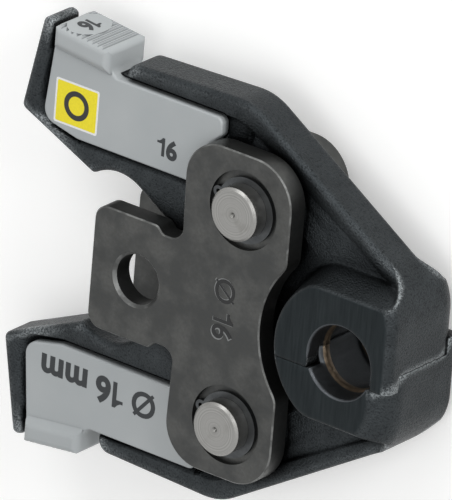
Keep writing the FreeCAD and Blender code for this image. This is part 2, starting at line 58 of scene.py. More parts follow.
# Heights of the faces that carry marks, and the places of the pins and the press bore
PAD_STEP = 2.0 * MM
PLATE_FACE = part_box("front_side_plate")[1].z
COVER_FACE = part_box("upper_grip_cover")[1].z - PAD_STEP
BOSS_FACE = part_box("upper_jaw")[1].z
PIN_AXIS = (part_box("upper_pivot_pin")[0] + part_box("upper_pivot_pin")[1]) / 2
NOSE_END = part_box("upper_jaw")[1].x
BORE_AXIS_X = NOSE_END - 15.2 * MM

# The jaw rests on the rear ends of its pins, which stand as proud as the front ones
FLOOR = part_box("rear_side_plate")[0].z - (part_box("upper_pivot_pin")[1].z - PLATE_FACE)

# Thickness of one layer of ink or label film
INK = 0.03 * MM

# How far a cutting shape reaches past a face that it leaves alone
SPARE = 0.02 * MM


def linear(colour):
    """An sRGB hex colour as linear red, green, blue and alpha."""
    channels = [int(colour[i : i + 2], 16) / 255 for i in (1, 3, 5)]
    return [c / 12.92 if c <= 0.04045 else ((c + 0.055) / 1.055) ** 2.4 for c in channels] + [1.0]


def add(tree, kind, inputs=None, **settings):
    """Adds a node with its settings, sets or links its inputs and returns it."""
    node = tree.nodes.new(kind)
    for name, value in settings.items():
        setattr(node, name, value)
    for name, value in (inputs or {}).items():
        if isinstance(value, bpy.types.NodeSocket):
            tree.links.new(value, node.inputs[name])
        else:
            node.inputs[name].default_value = value
    return node


# Materials


def blank_material(name):
    """A new material and its empty node tree."""
    material = bpy.data.materials.new(name)
    material.use_nodes = True
    material.node_tree.nodes.clear()
    return material, material.node_tree


def finish_material(tree, shader):
    """Links the shader to the material's output."""
    add(tree, "ShaderNodeOutputMaterial", {"Surface": shader.outputs["BSDF"]})


def blackened_forging():
    """Drop-forged steel, shot blasted and black phosphated: a pebbled, half-matt black skin whose
    rounded rims are painted brighter, partly worn bare and partly painted highlight, with painted
    shade in its recesses, machined boss faces and a turned, oil-stained bore."""
    material, tree = blank_material("blackened_forging")
    place = add(tree, "ShaderNodeTexCoord")
    where = place.outputs["Object"]
    xyz = add(tree, "ShaderNodeSeparateXYZ", {0: where})

    # Shot-blast pebbles about 0.3 mm across, drawn at 0.5 mm, over scale waves about 5 mm long
    pebbles = add(
        tree,
        "ShaderNodeTexNoise",
        {"Vector": where, "Scale": 1 / (0.5 * MM), "Detail": 2.0, "Roughness": 0.65},
    )
    scale_waves = add(
        tree, "ShaderNodeTexNoise", {"Vector": where, "Scale": 1 / (6 * MM), "Detail": 2.0}
    )
    sparkle = add(
        tree,
        "ShaderNodeMapRange",
        {"Value": pebbles.outputs["Fac"], "From Min": 0.4, "From Max": 0.62, "To Min": 0.15},
    )

    # Forged edges and hollows are about 1.5 mm round, so the shading turns softly there
    softened = add(tree, "ShaderNodeBevel", {"Radius": 1.5 * MM}, samples=8)
    # Crests and rims, found as places with little steel within 4 mm below, are painted brighter:
    # partly wear, partly painted highlight
    crest = add(tree, "ShaderNodeAmbientOcclusion", {"Distance": 4 * MM}, samples=16, inside=True)
    rim = add(
        tree,
        "ShaderNodeMapRange",
        {"Value": crest.outputs["AO"], "From Min": 0.72, "From Max": 0.46},
        interpolation_type="SMOOTHSTEP",
    )
    edges_lightened = add(
        tree, "ShaderNodeMath", {0: rim.outputs[0], 1: sparkle.outputs[0]}, operation="MULTIPLY"
    )

    # Machined boss face and the bore, by height and by distance from the bore's axis
    height = add(tree, "ShaderNodeMath", {0: xyz.outputs["Z"]}, operation="ABSOLUTE")
    boss_face = add(
        tree,
        "ShaderNodeMapRange",
        {
            "Value": height.outputs[0],
            "From Min": BOSS_FACE - 0.25 * MM,
            "From Max": BOSS_FACE - 0.05 * MM,
        },
    )
    from_bore = add(
        tree, "ShaderNodeVectorMath", {0: where, 1: (BORE_AXIS_X, 0, 0)}, operation="SUBTRACT"
    )
    across = add(
        tree, "ShaderNodeVectorMath", {0: from_bore.outputs[0], 1: (1, 1, 0)}, operation="MULTIPLY"
    )
    radius = add(tree, "ShaderNodeVectorMath", {0: across.outputs[0]}, operation="LENGTH")
    in_bore = add(
        tree,
        "ShaderNodeMapRange",
        {"Value": radius.outputs["Value"], "From Min": 10.05 * MM, "From Max": 9.95 * MM},
    )
    on_rib = add(
        tree,
        "ShaderNodeMapRange",
        {"Value": radius.outputs["Value"], "From Min": 9.3 * MM, "From Max": 9.1 * MM},
    )
    smooth = add(
        tree,
        "ShaderNodeMath",
        {0: boss_face.outputs[0], 1: in_bore.outputs[0]},
        operation="MAXIMUM",
    )
    rough_skin = add(tree, "ShaderNodeMath", {0: 1.0, 1: smooth.outputs[0]}, operation="SUBTRACT")

    waved = add(
        tree,
        "ShaderNodeMix",
        {0: scale_waves.outputs["Fac"], 6: linear("#292c2e"), 7: linear("#414547")},
        data_type="RGBA",
    )
    pits = add(
        tree,
        "ShaderNodeMapRange",
        {"Value": pebbles.outputs["Fac"], "From Min": 0.5, "From Max": 0.3, "To Max": 0.7},
    )
    dark = add(
        tree,
        "ShaderNodeMix",
        {0: pits.outputs[0], 6: waved.outputs[2], 7: linear("#16181a")},
        data_type="RGBA",
    )
    # The rims' lighter colour is partly worn bare steel and partly painted highlight
    skin = add(
        tree,
        "ShaderNodeMix",
        {0: edges_lightened.outputs[0], 6: dark.outputs[2], 7: linear("#8c9193")},
        data_type="RGBA",
    )
    # Recesses within 9 mm of other faces are painted near-black: painted shade
    open_sky = add(tree, "ShaderNodeAmbientOcclusion", {"Distance": 9 * MM}, samples=8)
    painted_recess_shade = add(
        tree,
        "ShaderNodeMapRange",
        {"Value": open_sky.outputs["AO"], "From Min": 0.85, "From Max": 0.42, "To Max": 0.92},
        interpolation_type="SMOOTHSTEP",
    )
    recess_darkened = add(
        tree,
        "ShaderNodeMix",
        {0: painted_recess_shade.outputs[0], 6: skin.outputs[2], 7: linear("#08090a")},
        data_type="RGBA",
    )
    # The faced boss keeps cutter lines along Y, 0.6 mm apart, under blotches of old oil
    cutter_lines = add(
        tree,
        "ShaderNodeMapping",
        {"Vector": where, "Scale": (1 / (0.6 * MM), 1 / (9 * MM), 1 / (9 * MM))},
    )
    faced = add(
        tree,
        "ShaderNodeTexNoise",
        {"Vector": cutter_lines.outputs[0], "Scale": 1.0, "Detail": 3.0},
    )
    face_tone = add(
        tree,
        "ShaderNodeMix",
        {0: faced.outputs["Fac"], 6: linear("#1b1f21"), 7: linear("#313638")},
        data_type="RGBA",
    )
    machined = add(
        tree,
        "ShaderNodeMix",
        {0: boss_face.outputs[0], 6: recess_darkened.outputs[2], 7: face_tone.outputs[2]},
        data_type="RGBA",
    )
    bored = add(
        tree,
        "ShaderNodeMix",
        {0: in_bore.outputs[0], 6: machined.outputs[2], 7: linear("#4d5053")},
        data_type="RGBA",
    )
    # Streaks of old oil and worn bronze-brown steel round the rib, about 3 mm long
    streaks = add(
        tree, "ShaderNodeTexNoise", {"Vector": where, "Scale": 1 / (3 * MM), "Detail": 4.0}
    )
    rib_tone = add(
        tree,
        "ShaderNodeMix",
        {0: streaks.outputs["Fac"], 6: linear("#453e37"), 7: linear("#b09c84")},
        data_type="RGBA",
    )
    ribbed = add(
        tree,
        "ShaderNodeMix",
        {0: on_rib.outputs[0], 6: bored.outputs[2], 7: rib_tone.outputs[2]},
        data_type="RGBA",
    )
    gloss = add(
        tree,
        "ShaderNodeMapRange",
        {
            "Value": pebbles.outputs["Fac"],
            "From Min": 0.3,
            "From Max": 0.7,
            "To Min": 0.52,
            "To Max": 0.36,
        },
    )
    bump = add(
        tree,
        "ShaderNodeBump",
        {
            "Height": pebbles.outputs["Fac"],
            "Normal": softened.outputs[0],
            "Strength": rough_skin.outputs[0],
            "Distance": 0.24 * MM,
        },
    )
    waves = add(
        tree,
        "ShaderNodeBump",
        {
            "Height": scale_waves.outputs["Fac"],
            "Normal": bump.outputs[0],
            "Strength": 0.6,
            "Distance": 0.25 * MM,
        },
    )
    shader = add(
        tree,
        "ShaderNodeBsdfPrincipled",
        {
            "Base Color": ribbed.outputs[2],
            "Metallic": 1.0,
            "Roughness": gloss.outputs[0],
            "Normal": waves.outputs[0],
        },
    )
    finish_material(tree, shader)
    return material


def plate_steel():
    """Hardened plate steel, ground and oil-blacked: cloudy grey-brown patches, a fine straight
    grind and edges rubbed back to bare metal."""
    material, tree = blank_material("plate_steel")
    place = add(tree, "ShaderNodeTexCoord")
    where = place.outputs["Object"]
    clouds = add(
        tree,
        "ShaderNodeTexNoise",
        {"Vector": where, "Scale": 1 / (9 * MM), "Detail": 5.0, "Roughness": 0.62},
    )
    specks = add(
        tree, "ShaderNodeTexNoise", {"Vector": where, "Scale": 1 / (0.8 * MM), "Detail": 3.0}
    )
    # Grinding lines 0.3 mm apart along Y, stretched forty times as long
    along = add(
        tree,
        "ShaderNodeMapping",
        {"Vector": where, "Scale": (1 / (0.3 * MM), 1 / (12 * MM), 1 / (12 * MM))},
    )
    grind = add(
        tree, "ShaderNodeTexNoise", {"Vector": along.outputs[0], "Scale": 1.0, "Detail": 2.0}
    )
    cloud_mask = add(
        tree,
        "ShaderNodeMapRange",
        {"Value": clouds.outputs["Fac"], "From Min": 0.38, "From Max": 0.64},
        interpolation_type="SMOOTHSTEP",
    )
    facing = add(tree, "ShaderNodeSeparateXYZ", {0: place.outputs["Normal"]})
    flat = add(tree, "ShaderNodeMath", {0: facing.outputs["Z"]}, operation="ABSOLUTE")
    lean_in = add(
        tree, "ShaderNodeMapRange", {"Value": flat.outputs[0], "From Min": 0.95, "From Max": 0.8}
    )
    lean_out = add(
        tree, "ShaderNodeMapRange", {"Value": flat.outputs[0], "From Min": 0.2, "From Max": 0.5}
    )
    edge = add(
        tree,
        "ShaderNodeMath",
        {0: lean_in.outputs[0], 1: lean_out.outputs[0]},
        operation="MULTIPLY",
    )
    rubbing = add(
        tree, "ShaderNodeTexNoise", {"Vector": where, "Scale": 1 / (4 * MM), "Detail": 3.0}
    )
    patches = add(
        tree,
        "ShaderNodeMapRange",
        {"Value": rubbing.outputs["Fac"], "From Min": 0.42, "From Max": 0.6, "To Min": 0.15},
        interpolation_type="SMOOTHSTEP",
    )
    worn = add(
        tree, "ShaderNodeMath", {0: edge.outputs[0], 1: patches.outputs[0]}, operation="MULTIPLY"
    )
    base = add(
        tree,
        "ShaderNodeMix",
        {0: cloud_mask.outputs[0], 6: linear("#434546"), 7: linear("#5c5d5c")},
        data_type="RGBA",
    )
    speckled = add(
        tree,
        "ShaderNodeMix",
        {0: specks.outputs["Fac"], 6: base.outputs[2], 7: linear("#4a4a48")},
        data_type="RGBA",
    )
    edges_lightened = add(
        tree,
        "ShaderNodeMix",
        {0: worn.outputs[0], 6: speckled.outputs[2], 7: linear("#6f706f")},
        data_type="RGBA",
    )
    gloss = add(
        tree,
        "ShaderNodeMapRange",
        {
            "Value": clouds.outputs["Fac"],
            "From Min": 0.3,
            "From Max": 0.7,
            "To Min": 0.5,
            "To Max": 0.38,
        },
    )
    lines = add(
        tree,
        "ShaderNodeBump",
        {"Height": grind.outputs["Fac"], "Strength": 0.25, "Distance": 0.02 * MM},
    )
    pits = add(
        tree,
        "ShaderNodeBump",
        {
            "Height": specks.outputs["Fac"],
            "Normal": lines.outputs[0],
            "Strength": 0.3,
            "Distance": 0.05 * MM,
        },
    )
    shader = add(
        tree,
        "ShaderNodeBsdfPrincipled",
        {
            "Base Color": edges_lightened.outputs[2],
            "Metallic": 1.0,
            "Roughness": gloss.outputs[0],
            "Normal": pits.outputs[0],
        },
    )
    finish_material(tree, shader)
    return material


def turned_steel():
    """Bright steel turned on a lathe: fine rings round each pin's own axis, a little stained, with
    painted shade in the centre-drill pit.
    """
    material, tree = blank_material("turned_steel")
    place = add(tree, "ShaderNodeTexCoord")
    where = place.outputs["Object"]
    # Both pins share one pattern: Y is folded so that either axis lies at the same place
    folded = add(tree, "ShaderNodeVectorMath", {0: where}, operation="ABSOLUTE")
    from_axis = add(
        tree,
        "ShaderNodeVectorMath",
        {0: folded.outputs[0], 1: (PIN_AXIS.x, PIN_AXIS.y, 0)},
        operation="SUBTRACT",
    )
    across = add(
        tree, "ShaderNodeVectorMath", {0: from_axis.outputs[0], 1: (1, 1, 0)}, operation="MULTIPLY"
    )
    radius = add(tree, "ShaderNodeVectorMath", {0: across.outputs[0]}, operation="LENGTH")
    # Tool marks 0.35 mm apart, drawn coarser than the real 0.1 mm feed so that they show
    rings = add(
        tree,
        "ShaderNodeTexNoise",
        {"W": radius.outputs["Value"], "Scale": 1 / (0.35 * MM), "Detail": 2.0},
        noise_dimensions="1D",
    )
    stain = add(
        tree, "ShaderNodeTexNoise", {"Vector": where, "Scale": 1 / (5 * MM), "Detail": 4.0}
    )
    grit = add(
        tree, "ShaderNodeTexNoise", {"Vector": where, "Scale": 1 / (0.5 * MM), "Detail": 3.0}
    )
    bright = add(
        tree,
        "ShaderNodeMix",
        {0: rings.outputs["Fac"], 6: linear("#7f7f7d"), 7: linear("#a2a19e")},
        data_type="RGBA",
    )
    stained = add(
        tree,
        "ShaderNodeMapRange",
        {"Value": stain.outputs["Fac"], "From Min": 0.5, "From Max": 0.75, "To Max": 0.6},
        interpolation_type="SMOOTHSTEP",
    )
    colour = add(
        tree,
        "ShaderNodeMix",
        {0: stained.outputs[0], 6: bright.outputs[2], 7: linear("#7d7c78")},
        data_type="RGBA",
    )
    # Within 1.1 mm of the axis, over the centre-drill pit, the colour is painted darker: painted
    # shade that also dims the pit's highlight
    centre_pit_shade = add(
        tree,
        "ShaderNodeMapRange",
        {
            "Value": radius.outputs["Value"],
            "From Min": 1.1 * MM,
            "From Max": 0.4 * MM,
            "To Max": 0.4,
        },
        interpolation_type="SMOOTHSTEP",
    )
    pit_darkened = add(
        tree,
        "ShaderNodeMix",
        {0: centre_pit_shade.outputs[0], 6: colour.outputs[2], 7: linear("#3d3d3c")},
        data_type="RGBA",
    )
    gloss = add(
        tree,
        "ShaderNodeMapRange",
        {
            "Value": grit.outputs["Fac"],
            "From Min": 0.3,
            "From Max": 0.7,
            "To Min": 0.28,
            "To Max": 0.42,
        },
    )
    bump = add(
        tree,
        "ShaderNodeBump",
        {"Height": rings.outputs["Fac"], "Strength": 0.5, "Distance": 0.03 * MM},
    )
    shader = add(
        tree,
        "ShaderNodeBsdfPrincipled",
        {
            "Base Color": pit_darkened.outputs[2],
            "Metallic": 1.0,
            "Roughness": gloss.outputs[0],
            "Normal": bump.outputs[0],
        },
    )
    finish_material(tree, shader)
    return material


def spring_steel():
    """Oil-hardened spring steel, stamped or drawn: dark blue-grey with a low, even gloss."""
    material, tree = blank_material("spring_steel")
    place = add(tree, "ShaderNodeTexCoord")
    tint = add(
        tree,
        "ShaderNodeTexNoise",
        {"Vector": place.outputs["Object"], "Scale": 1 / (2 * MM), "Detail": 3.0},
    )
    colour = add(
        tree,
        "ShaderNodeMix",
        {0: tint.outputs["Fac"], 6: linear("#3c3e40"), 7: linear("#5a5c5d")},
        data_type="RGBA",
    )
    gloss = add(
        tree,
        "ShaderNodeMapRange",
        {
            "Value": tint.outputs["Fac"],
            "From Min": 0.3,
            "From Max": 0.7,
            "To Min": 0.45,
            "To Max": 0.3,
        },
    )
    bump = add(
        tree,
        "ShaderNodeBump",
        {"Height": tint.outputs["Fac"], "Strength": 0.3, "Distance": 0.04 * MM},
    )
    shader = add(
        tree,
        "ShaderNodeBsdfPrincipled",
        {
            "Base Color": colour.outputs[2],
            "Metallic": 1.0,
            "Roughness": gloss.outputs[0],
            "Normal": bump.outputs[0],
        },
    )
    finish_material(tree, shader)
    return material


def grey_plastic():
    """Glass-filled nylon, injection moulded in a spark-eroded tool: satin grey with a fine matt
    grain."""
    material, tree = blank_material("grey_plastic")
    place = add(tree, "ShaderNodeTexCoord")
    where = place.outputs["Object"]
    # Spark grain about 0.25 mm across, drawn at 0.4 mm so that it shows
    grain = add(
        tree, "ShaderNodeTexNoise", {"Vector": where, "Scale": 1 / (0.4 * MM), "Detail": 3.0}
    )
    flow = add(
        tree, "ShaderNodeTexNoise", {"Vector": where, "Scale": 1 / (14 * MM), "Detail": 2.0}
    )
    colour = add(
        tree,
        "ShaderNodeMix",
        {0: flow.outputs["Fac"], 6: linear("#9a9fa1"), 7: linear("#a9adae")},
        data_type="RGBA",
    )
    # The ribs' grooves and the ground round the raised field, within 1.2 mm of other faces, are
    # painted darker: painted shade
    open_sky = add(tree, "ShaderNodeAmbientOcclusion", {"Distance": 1.2 * MM}, samples=8)
    rib_groove_shade = add(
        tree,
        "ShaderNodeMapRange",
        {"Value": open_sky.outputs["AO"], "From Min": 0.93, "From Max": 0.7, "To Max": 0.7},
        interpolation_type="SMOOTHSTEP",
    )
    groove_darkened = add(
        tree,
        "ShaderNodeMix",
        {0: rib_groove_shade.outputs[0], 6: colour.outputs[2], 7: linear("#4a4e50")},
        data_type="RGBA",
    )
    gloss = add(
        tree,
        "ShaderNodeMapRange",
        {
            "Value": grain.outputs["Fac"],
            "From Min": 0.3,
            "From Max": 0.7,
            "To Min": 0.42,
            "To Max": 0.55,
        },
    )
    bump = add(
        tree,
        "ShaderNodeBump",
        {"Height": grain.outputs["Fac"], "Strength": 0.35, "Distance": 0.04 * MM},
    )
    shader = add(
        tree,
        "ShaderNodeBsdfPrincipled",
        {
            "Base Color": groove_darkened.outputs[2],
            "IOR": 1.53,
            "Roughness": gloss.outputs[0],
            "Normal": bump.outputs[0],
        },
    )
    finish_material(tree, shader)
    return material


def pad_ink(name, colour, roughness):
    """Pad-printed two-part ink or printed film: a thin flat layer with slightly uneven cover."""
    material, tree = blank_material(name)
    place = add(tree, "ShaderNodeTexCoord")
    cover = add(
        tree,
        "ShaderNodeTexNoise",
        {"Vector": place.outputs["Object"], "Scale": 1 / (0.5 * MM), "Detail": 3.0},
    )
    tone = add(
        tree,
        "ShaderNodeMix",
        {
            0: cover.outputs["Fac"],
            6: linear(colour),
            7: [0.8 * c for c in linear(colour)[:3]] + [1.0],
        },
        data_type="RGBA",
    )
    bump = add(
        tree,
        "ShaderNodeBump",
        {"Height": cover.outputs["Fac"], "Strength": 0.2, "Distance": 0.02 * MM},
    )
    shader = add(
        tree,
        "ShaderNodeBsdfPrincipled",
        {"Base Color": tone.outputs[2], "Roughness": roughness, "Normal": bump.outputs[0]},
    )
    finish_material(tree, shader)
    return material


def seen_ray(tree):
    """1 for rays that see the background straight on, in a reflection or through glass."""
    rays = add(tree, "ShaderNodeLightPath")
    direct = add(
        tree,
        "ShaderNodeMath",
        {0: rays.outputs["Is Camera Ray"], 1: rays.outputs["Is Glossy Ray"]},
        operation="MAXIMUM",
    )
    seen = add(
        tree,
        "ShaderNodeMath",
        {0: direct.outputs[0], 1: rays.outputs["Is Transmission Ray"]},
        operation="MAXIMUM",
    )
    return seen.outputs[0]


def floor_paper():
    """Matt white studio paper with a faint tooth, a little brighter where it is looked at."""
    material, tree = blank_material("studio_paper")
    place = add(tree, "ShaderNodeTexCoord")
    tooth = add(
        tree,
        "ShaderNodeTexNoise",
        {"Vector": place.outputs["Object"], "Scale": 1 / (1.5 * MM), "Detail": 2.0},
    )
    bump = add(
        tree,
        "ShaderNodeBump",
        {"Height": tooth.outputs["Fac"], "Strength": 0.1, "Distance": 0.05 * MM},
    )
    lift = add(tree, "ShaderNodeMath", {0: seen_ray(tree), 1: 0.22}, operation="MULTIPLY")
    shader = add(
        tree,
        "ShaderNodeBsdfPrincipled",
        {
            "Base Color": linear("#f7f7f6"),
            "Roughness": 0.9,
            "Normal": bump.outputs[0],
            "Emission Color": linear("#ffffff"),
            "Emission Strength": lift.outputs[0],
        },
    )
    finish_material(tree, shader)
    return material


# Printed and stamped marks


def mesh_piece(name, mesh, material):
    """A new object in the scene from a mesh, in one material."""
    piece = bpy.data.objects.new(name, mesh)
    bpy.context.scene.collection.objects.link(piece)
    piece.data.materials.clear()
    piece.data.materials.append(material)
    return piece


def evaluated_mesh(source):
    """A new mesh from an object as it stands, with its modifiers applied."""
    bpy.context.view_layer.update()
    depsgraph = bpy.context.evaluated_depsgraph_get()
    return bpy.data.meshes.new_from_object(source.evaluated_get(depsgraph))


def numeral_one(height, stroke):
    """Outline of a 1 with a flag."""
    width = 0.3 * height + stroke
    stem = width - stroke
    flag_low, flag_high = 0.68 * height, 0.8 * height
    return [
        (stem, 0), (width, 0), (width, height), (stem + 0.25 * stroke, height),
        (stem - 0.06 * height, 0.88 * height), (0.12 * height, flag_high), (0, flag_high),
        (0, flag_low), (stem, flag_low),
    ]


def glyph(character, height, thickness, weight):
    """One character as a closed, thin mesh, drawn by the plain built-in face."""
    font = bpy.data.curves.new("glyph_curve", "FONT")
    font.body = character
    font.size = height / 0.72
    font.offset = weight
    font.extrude = thickness / 2
    font.resolution_u = 6
    writer = bpy.data.objects.new("glyph_writer", font)
    bpy.context.scene.collection.objects.link(writer)
    mesh = evaluated_mesh(writer)
    bpy.data.objects.remove(writer)
    return mesh


def lettering(name, text, height, thickness, weight):
    """Plain numerals as a closed, thin mesh: bottom left at the origin, text along X."""
    word = bmesh.new()
    reach = 0.0
    for character in text:
        if character == " ":
            reach += 0.3 * height
            continue
        if character == "1":
            mesh = film("glyph", numeral_one(height, 0.13 * height + weight), 0, thickness)
        else:
            # The stroke through a Ø closes up unless it is drawn lighter
            mesh = glyph(character, height, thickness, weight / 2 if character == "Ø" else weight)
        low = Vector([min(v.co[axis] for v in mesh.vertices) for axis in range(3)])
        mesh.transform(Matrix.Translation((reach - low.x, 0, -low.z)))
        reach = max(v.co.x for v in mesh.vertices) + 0.1 * height
        word.from_mesh(mesh)
        bpy.data.meshes.remove(mesh)
    bmesh.ops.remove_doubles(word, verts=word.verts, dist=height / 2000)
    mesh = bpy.data.meshes.new(name)
    word.to_mesh(mesh)
    word.free()
    return mesh


def ring_outline(radius, count, centre):
    """Points round a circle."""
    turns = [2 * math.pi * i / count for i in range(count)]
    return [(centre[0] + radius * math.cos(t), centre[1] + radius * math.sin(t)) for t in turns]


def rounded_rectangle(x0, x1, y0, y1, radius, steps=6):
    """Points round a rectangle with rounded corners."""
    points = []
    for cx, cy, start in (
        (x1 - radius, y1 - radius, 0),
        (x0 + radius, y1 - radius, 90),
        (x0 + radius, y0 + radius, 180),
        (x1 - radius, y0 + radius, 270),
    ):
        for i in range(steps + 1):
            t = math.radians(start + 90 * i / steps)
            points.append((cx + radius * math.cos(t), cy + radius * math.sin(t)))
    return points


def film(name, outer, low, high, inner=None):
    """A thin closed sheet between two heights, in one outline and, at need, outside another."""
    shape = bmesh.new()
    loops = []
    for outline in [outer] + ([inner] if inner else []):
        bottom = [shape.verts.new((x, y, low)) for x, y in outline]
        top = [shape.verts.new((x, y, high)) for x, y in outline]
        loops.append((bottom, top))
    for bottom, top in loops:
        count = len(bottom)
        for i in range(count):
            j = (i + 1) % count
            shape.faces.new((bottom[i], bottom[j], top[j], top[i]))
    if inner:
        (low_out, top_out), (low_in, top_in) = loops
        for i in range(count):
            j = (i + 1) % count
            shape.faces.new((top_out[i], top_out[j], top_in[j], top_in[i]))
            shape.faces.new((low_out[i], low_out[j], low_in[j], low_in[i]))
    else:
        shape.faces.new(loops[0][1])
        shape.faces.new(list(reversed(loops[0][0])))
    bmesh.ops.recalc_face_normals(shape, faces=shape.faces)
    mesh = bpy.data.meshes.new(name)
    shape.to_mesh(mesh)
    shape.free()
    return mesh


def place_on(piece, body):
    """Lets a piece move with a body."""
    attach(piece, body)


def numerals(name, text, height, weight, body, material, base, turn, lift=0.0):
    """Printed or stamped numerals on a face. Base is their lower left corner."""
    piece = mesh_piece(name, lettering(name, text, height, INK, weight), material)
    piece.rotation_euler = turn
    rise = Vector((0, 0, lift))
    rise.rotate(piece.rotation_euler)
    piece.location = Vector(base) + rise
    place_on(piece, body)


def marks():
    """The size marks on the covers and the plate, and the label with a pipe's end on it."""
    # Ink on the covers and three layers of printed vinyl for the label; for the stamped mark, a
    # near-black film of painted shade where the punch's groove is, over a lighter film of painted
    # highlight for the lit rim of the burr beside it
    dark = pad_ink("dark_grey_ink", "#202427", 0.55)
    white = pad_ink("white_label_film", "#eceded", 0.35)
    yellow = pad_ink("yellow_label_film", "#f2e11c", 0.35)
    black = pad_ink("black_label_film", "#17181a", 0.35)
    stamp_shade_ink = pad_ink("stamp_groove_painted_shade", "#121314", 0.7)
    stamp_highlight_ink = pad_ink("stamp_rim_painted_highlight", "#7b7d7d", 0.45)

    numerals(
        "upper_cover_size", "16", 4.9 * MM, 0.28 * MM, "upper_lever", dark,
        (-1.24 * MM, 32.03 * MM, COVER_FACE), (0, 0, 0),
    )
    numerals(
        "lower_cover_size", "Ø 16 mm", 6.9 * MM, 0.36 * MM, "lower_lever", dark,
        (4.76 * MM, -32.27 * MM, COVER_FACE), (0, 0, math.pi),
    )
    # The thumb pad is highest at its outer end, and its top falls by 2 mm over 17.6 mm from there
    pad_end_x, pad_end_y = -34.6 * MM, 57.03 * MM
    pad_slope = math.atan2(-2.0, 17.6)
    pad_turn = Matrix.Rotation(pad_slope, 3, "Z") @ Matrix(((0, 1, 0), (0, 0, 1), (1, 0, 0)))
    pad_x = -31.4 * MM
    pad_y = pad_end_y + math.tan(pad_slope) * (pad_x - pad_end_x)
    numerals(
        "thumb_pad_size", "16", 4.6 * MM, 0.25 * MM, "upper_lever", dark,
        (pad_x, pad_y, -2.8 * MM), pad_turn.to_euler(),
    )
    # The shade film lies a little aside from the highlight film, so that one rim shows as a
    # painted highlight
    down = (0, 0, -math.pi / 2)
    stamp_base = Vector((24.4 * MM, 9.4 * MM, PLATE_FACE))
    highlight_offset = 0.16 * MM
    numerals(
        "plate_stamp_highlight", "Ø 16", 6.2 * MM, 0.26 * MM, "frame", stamp_highlight_ink,
        stamp_base, down,
    )
    numerals(
        "plate_stamp_shade", "Ø 16", 6.2 * MM, 0.12 * MM, "frame", stamp_shade_ink,
        stamp_base + Vector((highlight_offset, -highlight_offset, 0)), down, INK,
    )

    x0, x1, y0, y1 = -33.74 * MM, -20.04 * MM, 30.73 * MM, 42.73 * MM
    rim = 0.55 * MM
    centre = ((x0 + x1) / 2, (y0 + y1) / 2)
    backing = rounded_rectangle(x0, x1, y0, y1, 0.6 * MM)
    field = rounded_rectangle(x0 + rim, x1 - rim, y0 + rim, y1 - rim, 0.4 * MM)
    pipe_outside = ring_outline(3.9 * MM, 48, centre)
    pipe_inside = ring_outline(2.5 * MM, 48, centre)
    layers = (
        ("label_backing", white, backing, None),
        ("label_field", yellow, field, None),
        ("label_pipe_ring", black, pipe_outside, pipe_inside),
    )
    for level, (name, material, outer, inner) in enumerate(layers):
        low = COVER_FACE + level * INK
        piece = mesh_piece(name, film(name, outer, low, low + INK, inner), material)
        place_on(piece, "upper_lever")


# Jaw noses


def worn_nose_room(turn):
    """The room that a nose fills: broadly rounded at its far rim and a little at its near rim."""
    face = BOSS_FACE + SPARE
    end_x = NOSE_END + SPARE
    far_round = 7.5 * MM
    near_round = 2.8 * MM
    corner = 14.0 * MM
    start_x, low_y = 58.0 * MM, -9.0 * MM
    # The lever's outer slope, from its knee to the nose's end
    slope_start = Vector((25.8 * MM, 54.32 * MM))
    slope_end = Vector((80.5 * MM, 19.92 * MM))
    slope_way = (slope_end - slope_start).normalized()
    slope_in = Vector((slope_way.y, -slope_way.x))
    steps = 12

    def outline(inset):
        """The room's outline in plan, drawn in from the nose's end and slope."""
        on_slope = slope_start + slope_in * inset
        centre_x = end_x - inset - corner
        inner = on_slope + slope_in * corner
        centre = Vector((centre_x, inner.y + slope_way.y / slope_way.x * (centre_x - inner.x)))
        first = math.atan2(-slope_in.y, -slope_in.x)
        turns = [first * step / steps for step in range(steps + 1)]
        arc = [centre + corner * Vector((math.cos(t), math.sin(t))) for t in turns]
        top = on_slope.y + slope_way.y / slope_way.x * (start_x - on_slope.x)
        bottom = [Vector((start_x, low_y)), Vector((end_x - inset, low_y))]
        return [*bottom, *arc, Vector((start_x, top))]

    shape = bmesh.new()
    levels = []
    quarter = [math.pi / 2 * step / steps for step in range(steps + 1)]
    for t in quarter:
        levels.append((far_round * (1 - math.cos(t)) - face, far_round * (1 - math.sin(t))))
    for t in reversed(quarter):
        levels.append((face - near_round * (1 - math.cos(t)), near_round * (1 - math.sin(t))))
    loops = []
    for z, inset in levels:
        loops.append([shape.verts.new(turn @ Vector((*xy, z))) for xy in outline(inset)])
    for below, above in zip(loops, loops[1:]):
        for i in range(len(below)):
            j = (i + 1) % len(below)
            shape.faces.new((below[i], below[j], above[j], above[i]))
    shape.faces.new(list(reversed(loops[0])))
    shape.faces.new(loops[-1])
    bmesh.ops.recalc_face_normals(shape, faces=shape.faces)
    mesh = bpy.data.meshes.new("nose_room")
    shape.to_mesh(mesh)
    shape.free()
    return mesh


def modified(mesh, name, kind, **settings):
    """A new mesh: the given one with one modifier applied."""
    work = bpy.data.objects.new("work", mesh)
    bpy.context.scene.collection.objects.link(work)
    modifier = work.modifiers.new(name, kind)
    for setting, value in settings.items():
        setattr(modifier, setting, value)
    result = evaluated_mesh(work)
    result.name = name
    bpy.data.objects.remove(work)
    return result


def cut(mesh, tool, name):
    """A new mesh: the first one less the tool."""
    knife = bpy.data.objects.new("knife", tool)
    bpy.context.scene.collection.objects.link(knife)
    result = modified(mesh, name, "BOOLEAN", operation="DIFFERENCE", solver="EXACT", object=knife)
    bpy.data.objects.remove(knife)
    return result


def flattened(mesh, name):
    """The mesh with its large faces shaded flat right up to their rounded edges."""
    return modified(mesh, name, "WEIGHTED_NORMAL", keep_sharp=True, weight=100)


